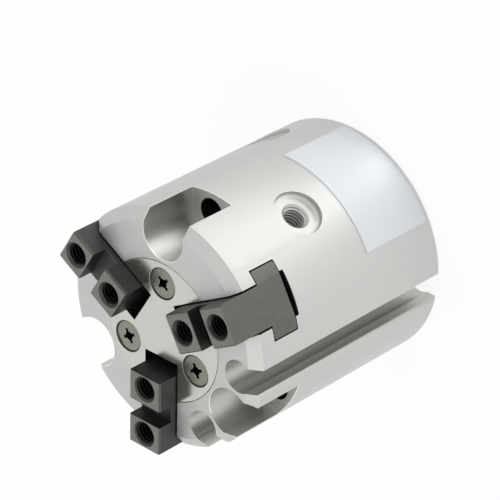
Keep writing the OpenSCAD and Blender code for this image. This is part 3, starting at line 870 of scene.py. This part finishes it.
# Cast urethane: honey, with the soft sheen of a thing poured and not cut.
dress("front_bumper", finish("cast_urethane_front_stop", "#C9A86A", metallic=0, roughness=0.5,
                             grain=0.1, depth=0.002))
dress("rear_bumper", finish("cast_urethane_rear_stop", "#C9A86A", metallic=0, roughness=0.5,
                            grain=0.1, depth=0.002))

# %% Rear parts
# Turned, then anodised but not blasted: a brighter, sharper silver than the body's. The tool's marks are
# drawn at 0.3 mm, which is coarser than real, so that they show.
dress("rear_cap", finish("clear_anodised_turned_cap", "#C4C3C1", metallic=1, roughness=0.35,
                         grain=0.3, depth=0.002, run=(1, 1, 0.2)))

# Phosphate: a dark grey skin of fine crystals that hardly shines.
dress("retaining_ring", finish("phosphated_spring_steel", "#4A4845", metallic=1, roughness=0.4,
                               grain=0.08, depth=0.002))

# %% [markdown]
# ## A white floor that keeps the shadow
#
# The gripper stands on white paper. The paper could be lit until it turns white, but that would burn out
# the metal too. Instead most of what the lens sees of the paper is its own even white, and the rest is
# real paper that takes the soft shadow round the foot of the body. Light Path tells the two apart. Metal
# is meant to show the same white, so a ray that bounces off it is treated like one from the lens.

# %% Floor
bpy.context.scene.view_settings.view_transform = "Standard"
FLOOR_Z = body_low.z - 0.05 * MM
FLOOR_SIZE = 6
OWN_WHITE = 0.88

floor = lone_primitive(bpy.ops.mesh.primitive_plane_add, size=FLOOR_SIZE, location=(0, 0, FLOOR_Z))
floor.name = "studio_floor"
print("floor at z = %.2f mm" % (FLOOR_Z / MM))

# %% Paper
# Uncoated paper: an even white with no shine.
paper, tree, shader = new_material("white_paper_floor")
shader.inputs["Base Color"].default_value = colour("#FAFAFA")
shader.inputs["Roughness"].default_value = 0.9
path = add_node(tree, "LightPath")
mirrored = add_node(tree, "Math", {"operation": "MAXIMUM"})
tree.links.new(path.outputs["Is Glossy Ray"], mirrored.inputs[0])
tree.links.new(path.outputs["Is Transmission Ray"], mirrored.inputs[1])
seen = add_node(tree, "Math", {"operation": "MAXIMUM"})
tree.links.new(path.outputs["Is Camera Ray"], seen.inputs[0])
tree.links.new(mirrored.outputs[0], seen.inputs[1])
glow = add_node(tree, "Emission", {"Color": colour("#FFFFFF"), "Strength": 1.0})
share = add_node(tree, "MapRange", {"To Min": 0.0, "To Max": OWN_WHITE}, {"Value": seen.outputs[0]})
both = add_node(tree, "MixShader", {}, {"Fac": share.outputs[0]})
tree.links.new(shader.outputs[0], both.inputs[1])
tree.links.new(glow.outputs[0], both.inputs[2])
tree.links.new(both.outputs[0], tree.nodes["Material Output"].inputs["Surface"])
floor.data.materials.append(paper)
print("share of the paper's own white: %.2f" % OWN_WHITE)

# %% [markdown]
# ## The tent and the strip of light
#
# A shiny metal part is best lit in a tent of white cloth, which is nothing but an even pale world. That
# alone shows form only by what the part reflects of itself, so a second light draws the long highlight on
# the round side. A standing cylinder, seen from above, mirrors the table right beside it and not the lamps
# overhead. The strip therefore lies flat on the table and shines up. It is a fan of soft panels that
# widens with distance, so that the highlight stays equally wide from the rear edge to the nose. The lens
# doesn't see the panels. One more panel lifts the shadow side a little.

# %% World
TENT = 0.96

world = bpy.data.worlds.new("tent")
bpy.context.scene.world = world
world.use_nodes = True
tent = world.node_tree.nodes["Background"]
tent.inputs["Color"].default_value = colour("#FFFFFF")
tent.inputs["Strength"].default_value = TENT
print("tent strength:", TENT)

# %% Panels on the floor
PANEL_LIFT = 0.6 * MM


def floor_panel(name, azimuth, radius, long, wide, radiance):
    """A soft panel that lies on the floor and shines up. radius is to its middle, and white is 1."""
    data = bpy.data.lights.new(name, "AREA")
    data.shape = "RECTANGLE"
    data.size, data.size_y = long * MM, wide * MM
    data.energy = radiance * math.pi * data.size * data.size_y
    panel = bpy.data.objects.new(name, data)
    bpy.context.scene.collection.objects.link(panel)
    panel.visible_camera = False
    a = math.radians(azimuth)
    place = Vector((radius * MM * math.cos(a), radius * MM * math.sin(a), FLOOR_Z + PANEL_LIFT))
    turned = Matrix.Rotation(a, 4, "Z") @ Matrix.Rotation(math.pi, 4, "X")
    panel.matrix_world = Matrix.Translation(place) @ turned
    print("%s: %.2g watts" % (name, data.energy))


# Azimuth in degrees, then radius, length and width in mm, then radiance.
PANELS = {
    "near_panel": (33, 20.5, 7, 5, 2.0),
    "mid_panel": (37, 30.5, 13, 13, 1.4),
    "far_panel": (42, 52, 30, 46, 1.0),
    "outer_panel": (44, 84, 40, 84, 1.8),
    "wide_panel": (44, 54, 38, 88, 0.4),
    "fill_panel": (-18, 47, 50, 50, 0.12),
}
for name, numbers in PANELS.items():
    floor_panel(name, *numbers)

# %% [markdown]
# ## One soft box
#
# The conical nose and the open grooves look up and aside, so they mirror the upper part of the tent. A
# large soft box on the side of the grooves makes them a little brighter than the flat front.

# %% Soft box
BOX_SIZE = 0.3
BOX_FAR = 0.45
BOX_RADIANCE = 0.7
BOX_ANGLE, BOX_LIFT = math.radians(-60), math.radians(50)

box_light = bpy.data.lights.new("side_box", "AREA")
box_light.size = BOX_SIZE
box_light.energy = BOX_RADIANCE * math.pi * BOX_SIZE ** 2
side_box = bpy.data.objects.new("side_box", box_light)
bpy.context.scene.collection.objects.link(side_box)
side_box.visible_camera = False
way = Vector((math.cos(BOX_ANGLE) * math.cos(BOX_LIFT), math.sin(BOX_ANGLE) * math.cos(BOX_LIFT),
              math.sin(BOX_LIFT)))
side_box.matrix_world = (Matrix.Translation(Vector((0, 0, front_z)) + way * BOX_FAR)
                         @ (-way).to_track_quat("-Z", "Y").to_matrix().to_4x4())
print("soft box %.2g watts" % box_light.energy)
